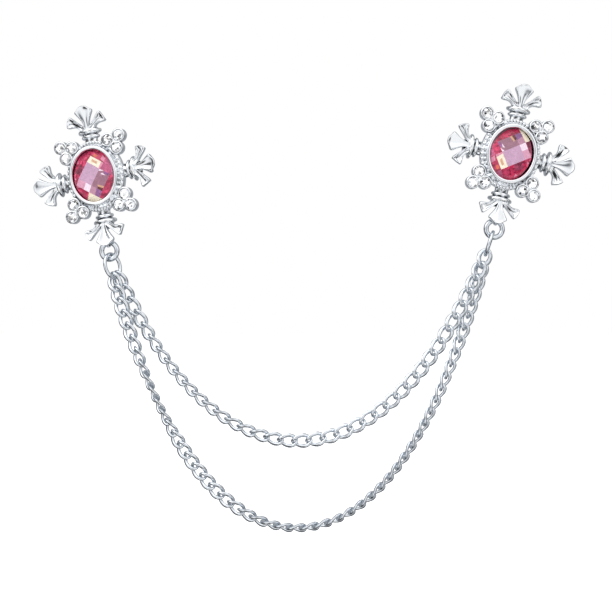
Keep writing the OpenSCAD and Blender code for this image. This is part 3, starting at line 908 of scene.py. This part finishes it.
def rhinestones(side, material):
    draw = random.Random(side)
    shell = Shell()
    z = CUP_H - SMALL_SUNK * SMALL_T + STONE_GAP
    for x, y in small_places():
        turn = Matrix.Rotation(draw.uniform(0, math.pi), 4, "Z")
        points, faces, shades = brilliant(draw)
        shell.add(points, faces, Matrix.Translation((x, y, z)) @ turn, shades)
    piece = shell.build(side + "_clear_stones", material, side, sharp=1.0)
    for face in piece.data.polygons:
        face.use_smooth = False
    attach(piece, "root")
    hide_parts(*(f"{side}_rhinestone_{i}" for i in range(1, 13)))


# Rings and links
def node_points(node):
    """A CAD node's points in millimetres, each once, and its triangles over them."""
    mesh = bpy.data.objects[node].data
    numbers, points, welded = {}, [], []
    for vertex in mesh.vertices:
        key = tuple(round(c / MM, 3) for c in vertex.co)
        if key not in numbers:
            numbers[key] = len(points)
            points.append(np.array(key))
        welded.append(numbers[key])
    return points, [[welded[i] for i in face.vertices] for face in mesh.polygons]


def loose_solids(node):
    """The points of each separate solid in a CAD node."""
    points, faces = node_points(node)
    parent = list(range(len(points)))

    def root(i):
        while parent[i] != i:
            parent[i] = parent[parent[i]]
            i = parent[i]
        return i

    for face in faces:
        for i in face[1:]:
            parent[root(i)] = root(face[0])
    groups = {}
    for i, p in enumerate(points):
        groups.setdefault(root(i), []).append(p)
    return [np.array(g) for g in groups.values()]


def own_axes(points):
    """The middle of a ring or link, and its long, wide and flat directions."""
    middle = points.mean(axis=0)
    _, vectors = np.linalg.eigh(np.cov((points - middle).T))
    long, wide = vectors[:, 2], vectors[:, 1]
    return middle, (long, wide, np.cross(long, wide))


def place_matrix(middle, axes):
    """From a ring's or link's own millimetres to the frame's."""
    turned = Matrix([Vector(axis) for axis in axes]).transposed()
    return Matrix.Translation(Vector(middle)) @ turned.to_4x4()


LINK_SECTIONS = 48
LINK_SIDES = 12


def link():
    """A curb link: an oval of wire, broader on its long sides, with its ends twisted against each other."""
    half_length = (LINK_LENGTH - LINK_WIRE) / 2
    half_width = (LINK_WIDTH - LINK_SIDE_WIRE) / 2
    path, widths = [], []
    for i in range(LINK_SECTIONS):
        t = 2 * math.pi * i / LINK_SECTIONS
        twist = -math.radians(LINK_TWIST) / 2 * math.cos(t)
        across = half_width * math.sin(t)
        path.append((half_length * math.cos(t), across * math.cos(twist), across * math.sin(twist)))
        widths.append(lerp(LINK_WIRE, LINK_SIDE_WIRE, math.sin(t) ** 2))
    return sweep(path, widths, LINK_WIRE, LINK_SIDES)


# How much further the links are rolled: share of the chain from its left end, and degrees
FURTHER_ROLL = {
    "inner_chain": ((0.06, 0), (0.12, 12), (0.2, 18), (0.3, 14), (0.42, 8), (0.5, 0)),
    "outer_chain": ((0.04, 0), (0.09, 18), (0.13, 26), (0.2, 22), (0.26, 8), (0.31, 0)),
}


def chain(node, material):
    """The links of one chain, from left to right, each rolled a little further round its own length."""
    shell = Shell()
    shape = link()
    solids = sorted(loose_solids(node), key=lambda points: points[:, 0].mean())
    for i, points in enumerate(solids):
        middle, axes = own_axes(points)
        roll = math.radians(curve_value(FURTHER_ROLL[node], i / (len(solids) - 1)))
        turn = Matrix.Rotation(roll if axes[0][0] > 0 else -roll, 4, "X")
        shell.add(*shape, place_matrix(middle, axes) @ turn)
    piece = shell.build(node + "_links", material)
    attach(piece, "root")
    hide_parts(node)


RING_SECTIONS = 96
OVAL_RING_SIDES = 20
ROUND_RING_SIDES = 24


def wire_ring(half_long, half_wide, wire, sides):
    """A closed ring of round wire, from half the length and width of its middle line."""
    circle = [circle_point(1, i / RING_SECTIONS) for i in range(RING_SECTIONS)]
    path = [(half_long * x, half_wide * y, 0) for x, y in circle]
    return sweep(path, [wire] * RING_SECTIONS, wire, sides)


def oval_ring(side, material):
    node = side + "_oval_ring"
    points = loose_solids(node)[0]
    middle, axes = own_axes(points)
    half_long, half_wide = (abs((points - middle) @ axis).max() - OVAL_WIRE / 2 for axis in axes[:2])
    shell = Shell()
    shell.add(*wire_ring(half_long, half_wide, OVAL_WIRE, OVAL_RING_SIDES), place_matrix(middle, axes))
    piece = shell.build(node + "_wire", material)
    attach(piece, "root")
    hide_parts(node)


def round_ring(side, material):
    node = side + "_round_ring"
    shell = Shell()
    centre = eye_centre() + Vector((0, -ROUND_R, 0))
    shell.add(*wire_ring(ROUND_R, ROUND_R, ROUND_WIRE, ROUND_RING_SIDES), Matrix.Translation(centre))
    piece = shell.build(node + "_wire", material, side)
    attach(piece, "root")
    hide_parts(node)


# Materials
def set_inputs(tree, node, inputs):
    """Gives each named or numbered input of a shader node a value, or the output of another node."""
    for name, source in inputs.items():
        if isinstance(source, bpy.types.NodeSocket):
            tree.links.new(source, node.inputs[name])
        else:
            node.inputs[name].default_value = source


def add_node(tree, kind, output, inputs, **settings):
    """Adds a shader node with its settings and inputs, and returns one of its outputs."""
    node = tree.nodes.new("ShaderNode" + kind)
    for name, value in settings.items():
        setattr(node, name, value)
    set_inputs(tree, node, inputs)
    return node.outputs[output]


def ramp(tree, source, stops, interpolation="LINEAR"):
    """A colour ramp over a value, from (position, colour) rows."""
    node = tree.nodes.new("ShaderNodeValToRGB")
    node.color_ramp.interpolation = interpolation
    elements = node.color_ramp.elements
    while len(elements) < len(stops):
        elements.new(0.5)
    for element, (position, colour) in zip(elements, stops):
        element.position = position
        element.color = (*colour, 1)
    tree.links.new(source, node.inputs["Fac"])
    return node.outputs["Color"]


def noise(tree, scale, detail, output="Fac"):
    """Noise over the object, in features to the metre."""
    place = add_node(tree, "TexCoord", "Object", {})
    return add_node(tree, "TexNoise", output, {"Scale": scale, "Detail": detail, "Vector": place})


def bump(tree, height, strength, distance):
    return add_node(tree, "Bump", "Normal", {"Strength": strength, "Distance": distance, "Height": height})


def facet_colour(tree):
    return add_node(tree, "Attribute", "Color", {}, attribute_name="facet")


def multiply(tree, factor, a, b, clamp=False):
    settings = {"data_type": "RGBA", "blend_type": "MULTIPLY", "clamp_result": clamp}
    return add_node(tree, "Mix", "Result", {"Factor": factor, "A": a, "B": b}, **settings)


def new_material(name, make_inputs):
    """A material whose main shader has the inputs that the given function makes in its node tree."""
    material = bpy.data.materials.new(name)
    material.use_nodes = True
    tree = material.node_tree
    set_inputs(tree, tree.nodes["Principled BSDF"], make_inputs(tree))
    return material


# Painted shade: the plate's colour in hollows where metal stands close, and by how much more open space the
# metal reaches its full tint
PAINTED_HOLLOW_SHADE = (0.04, 0.042, 0.05)
HOLLOW_RANGE = 0.33
# Grain and waves, in features to the metre
GRAIN_SCALE = 6000.0
WAVE_SCALE = 420.0
WAVE_STRENGTH = 0.35


def plated_metal(name, tint, hollow, reach, wave):
    """Bright silver plate with soft waves and a faint grain.

    Its colour carries painted shade where metal stands closer than reach, and the painted shade and dark
    reflections held in the layer "facet"."""
    def inputs(tree):
        open_space = add_node(tree, "AmbientOcclusion", "AO", {"Distance": reach * MM})
        # Painted shade: the plate turns dark where other metal stands close by
        plate = ramp(tree, open_space, ((hollow, PAINTED_HOLLOW_SHADE), (hollow + HOLLOW_RANGE, tint)))
        rough = {"Value": noise(tree, GRAIN_SCALE, 4.0), "To Min": 0.07, "To Max": 0.2}
        waves = noise(tree, WAVE_SCALE, 2.0)
        return {
            "Metallic": 1.0,
            "Base Color": multiply(tree, 1.0, plate, facet_colour(tree)),
            "Roughness": add_node(tree, "MapRange", "Result", rough),
            "Normal": bump(tree, waves, WAVE_STRENGTH, wave * MM),
        }

    return new_material(name, inputs)


# Broken reflections in the glass: from which share of the shards on, and their brightness
PINK_FLECKS = ((0, 0.55), (0.3, 0.85), (0.55, 1.1), (0.8, 1.5))
CLEAR_FLECKS = ((0, 0.05), (0.05, 0.3), (0.14, 0.62), (0.3, 0.85), (0.5, 1.0))
# Facets with less green than the first value have all flecks, and those with more than the second the fewest
FLECK_GREEN = (0.02, 0.2)
# Shards and the streaks that bend their edges, in features to the metre, and how far they bend them
SHARD_SCALE = 1500.0
STREAK_SCALE = 700.0
STREAK_BEND = 0.0008


def stone_glass(name, rough, painted_glow, flecks, in_light):
    """Faceted glass over foil, with the foil's broken reflections as flecks.

    The flecks are in full on the darkest facets, and by the share in_light on the light ones."""
    def inputs(tree):
        colour = facet_colour(tree)
        bend = {
            "Factor": STREAK_BEND,
            "A": add_node(tree, "TexCoord", "Object", {}),
            "B": noise(tree, STREAK_SCALE, 4.0, "Color"),
        }
        place = add_node(tree, "Mix", "Result", bend, data_type="VECTOR")
        shards = add_node(tree, "TexVoronoi", "Color", {"Scale": SHARD_SCALE, "Vector": place})
        draw = add_node(tree, "SeparateColor", "Red", {"Color": shards})
        level = ramp(tree, draw, [(share, [bright] * 3) for share, bright in flecks], "CONSTANT")
        strength = {
            "From Min": FLECK_GREEN[0],
            "From Max": FLECK_GREEN[1],
            "To Min": 1.0,
            "To Max": in_light,
            "Value": add_node(tree, "SeparateColor", "Green", {"Color": colour}),
        }
        flecked = multiply(tree, add_node(tree, "MapRange", "Result", strength), colour, level, clamp=True)
        return {
            "Base Color": flecked,
            "Roughness": rough,
            "IOR": 1.55,
            "Specular IOR Level": 0.3,
            "Coat Weight": 0.25,
            "Coat Roughness": 0.02,
            # Painted glow: the stone gives off light in its own facet colours
            "Emission Color": flecked,
            "Emission Strength": painted_glow,
        }

    return new_material(name, inputs)


def pin_steel(tree):
    grain = noise(tree, 3000.0, 3.0)
    return {
        "Metallic": 1.0,
        "Base Color": ramp(tree, grain, ((0, (0.42, 0.43, 0.45)), (1, (0.62, 0.63, 0.66)))),
        "Roughness": 0.28,
        "Normal": bump(tree, grain, 0.2, 0.05 * MM),
    }


# Studio
CAMERA_PLACE = (52.0, -310.0, -32.3)
VIEW_WIDTH = 153.0
FLOOR_DROP = 20.0
FLOOR_FRONT = -150.0
FLOOR_BACK = 3000.0
FLOOR_REACH = 2000.0
TABLE_GLOW = 0.55


def camera():
    data = bpy.data.cameras.new("camera")
    data.sensor_width = 36.0
    data.lens = data.sensor_width * -CAMERA_PLACE[1] / VIEW_WIDTH
    data.clip_start = 0.01
    piece = new_object("camera", data)
    piece.location = Vector(CAMERA_PLACE) * MM
    piece.rotation_euler = (math.pi / 2, 0, 0)
    bpy.context.scene.camera = piece


def pale_floor(tree):
    return {
        "Base Color": ramp(tree, noise(tree, 8.0, 2.0), ((0, (0.93, 0.93, 0.93)), (1, (0.97, 0.97, 0.97)))),
        "Roughness": 0.9,
        "Emission Color": (1, 1, 1, 1),
        "Emission Strength": TABLE_GLOW,
    }


def floor():
    """A pale light table under the chains. The metal doesn't reflect it, so that the tent shows there."""
    z = CAD_BOX[0].z - FLOOR_DROP * MM
    front, back, reach = FLOOR_FRONT * MM, FLOOR_BACK * MM, FLOOR_REACH * MM
    mesh = bpy.data.meshes.new("floor")
    corners = [(-reach, front, z), (reach, front, z), (reach, back, z), (-reach, back, z)]
    mesh.from_pydata(corners, [], [(0, 1, 2, 3)])
    mesh.materials.append(new_material("pale_floor", pale_floor))
    piece = new_object("floor", mesh)
    piece.visible_glossy = False


# Light of the tent by angle from the camera's direction, in degrees
TENT = (
    (0, 0.14), (8, 0.2), (16, 0.75), (27, 0.97), (54, 0.98),
    (72, 0.6), (90, 0.3), (116, 0.25), (145, 0.4), (180, 0.5),
)
# Share of red and blue, against green, that the tent's light would have at no brightness
TENT_SHADE = (0.92, 1.1)
# Soft boxes and dark cards: degrees sideways and up from the camera's direction, inner and outer radius,
# light
PATCHES = (
    (-55, 40, 14, 30, 1.9),
    (60, 35, 12, 28, 1.7),
    (0, 78, 20, 40, 1.5),
    (-48, -32, 5, 13, 0.04),
    (50, -38, 5, 14, 0.05),
    (-62, 6, 4, 11, 0.05),
    (66, -4, 4, 11, 0.08),
    (8, -58, 5, 14, 0.1),
    (85, -5, 8, 20, 0.06),
    (-88, 0, 8, 20, 0.08),
    (95, 35, 22, 45, 0.5),
    (-80, -38, 16, 34, 0.03),
    (0, -88, 16, 34, 0.04),
)


def angle_from(tree, direction):
    """The angle between the direction looked in and a given one, in radians."""
    place = add_node(tree, "TexCoord", "Generated", {})
    dot = add_node(tree, "VectorMath", "Value", {0: place, 1: direction}, operation="DOT_PRODUCT")
    return add_node(tree, "Math", 0, {0: dot}, operation="ARCCOSINE")


def tent_light(tree):
    """The tent's light as a ramp round the camera's direction, with the patches over it."""
    towards_camera = angle_from(tree, (0, -1, 0))
    share = add_node(tree, "MapRange", "Result", {"Value": towards_camera, "From Max": math.pi})
    stops = []
    for degrees, level in TENT:
        red, blue = (level * lerp(shade, 1, level) for shade in TENT_SHADE)
        stops.append((degrees / 180, (red, level, blue)))
    light = ramp(tree, share, stops)
    for sideways, upward, inner, outer, level in PATCHES:
        turn, lift = math.radians(sideways), math.radians(upward)
        direction = (math.sin(turn) * math.cos(lift), -math.cos(turn) * math.cos(lift), math.sin(lift))
        edge = {
            "Value": angle_from(tree, direction),
            "From Min": math.radians(outer),
            "From Max": math.radians(inner),
        }
        cover = add_node(tree, "MapRange", "Result", edge, interpolation_type="SMOOTHSTEP")
        patch = {"Factor": cover, "A": light, "B": (level, level, level, 1)}
        light = add_node(tree, "Mix", "Result", patch, data_type="RGBA")
    return light


def studio_world():
    """A white light tent, darker where the camera looks in, with soft boxes and dark cards.

    The camera itself sees plain white."""
    world = bpy.data.worlds.new("tent")
    bpy.context.scene.world = world
    world.use_nodes = True
    tree = world.node_tree
    tent = tree.nodes["Background"]
    set_inputs(tree, tent, {"Color": tent_light(tree)})
    shown = {
        "Fac": add_node(tree, "LightPath", "Is Camera Ray", {}),
        1: tent.outputs["Background"],
        2: add_node(tree, "Background", "Background", {"Color": (1, 1, 1, 1)}),
    }
    set_inputs(tree, tree.nodes["World Output"], {"Surface": add_node(tree, "MixShader", "Shader", shown)})


def main():
    camera()
    studio_world()
    floor()
    cast = plated_metal("plated_casting", tint=(0.93, 0.95, 0.975), hollow=0.18, reach=0.75, wave=0.2)
    # The wire's plate is tinted darker than the casting's: painted shade on the chains and rings
    wire = plated_metal("plated_wire", tint=(0.78, 0.82, 0.865), hollow=0.1, reach=0.34, wave=0.1)
    pink = stone_glass("pink_stone", rough=0.15, painted_glow=0.02, flecks=PINK_FLECKS, in_light=0.12)
    clear = stone_glass("clear_stone", rough=0.08, painted_glow=0.3, flecks=CLEAR_FLECKS, in_light=1.0)
    steel = new_material("pin_steel", pin_steel)
    for side in SIDES:
        setting(side, cast)
        center_stone(side, pink)
        rhinestones(side, clear)
        round_ring(side, wire)
        oval_ring(side, wire)
        post = bpy.data.objects[side + "_pin_post"]
        post.data.materials.clear()
        post.data.materials.append(steel)
    chain("inner_chain", wire)
    chain("outer_chain", wire)
    bpy.context.scene.view_settings.view_transform = "Standard"


main()
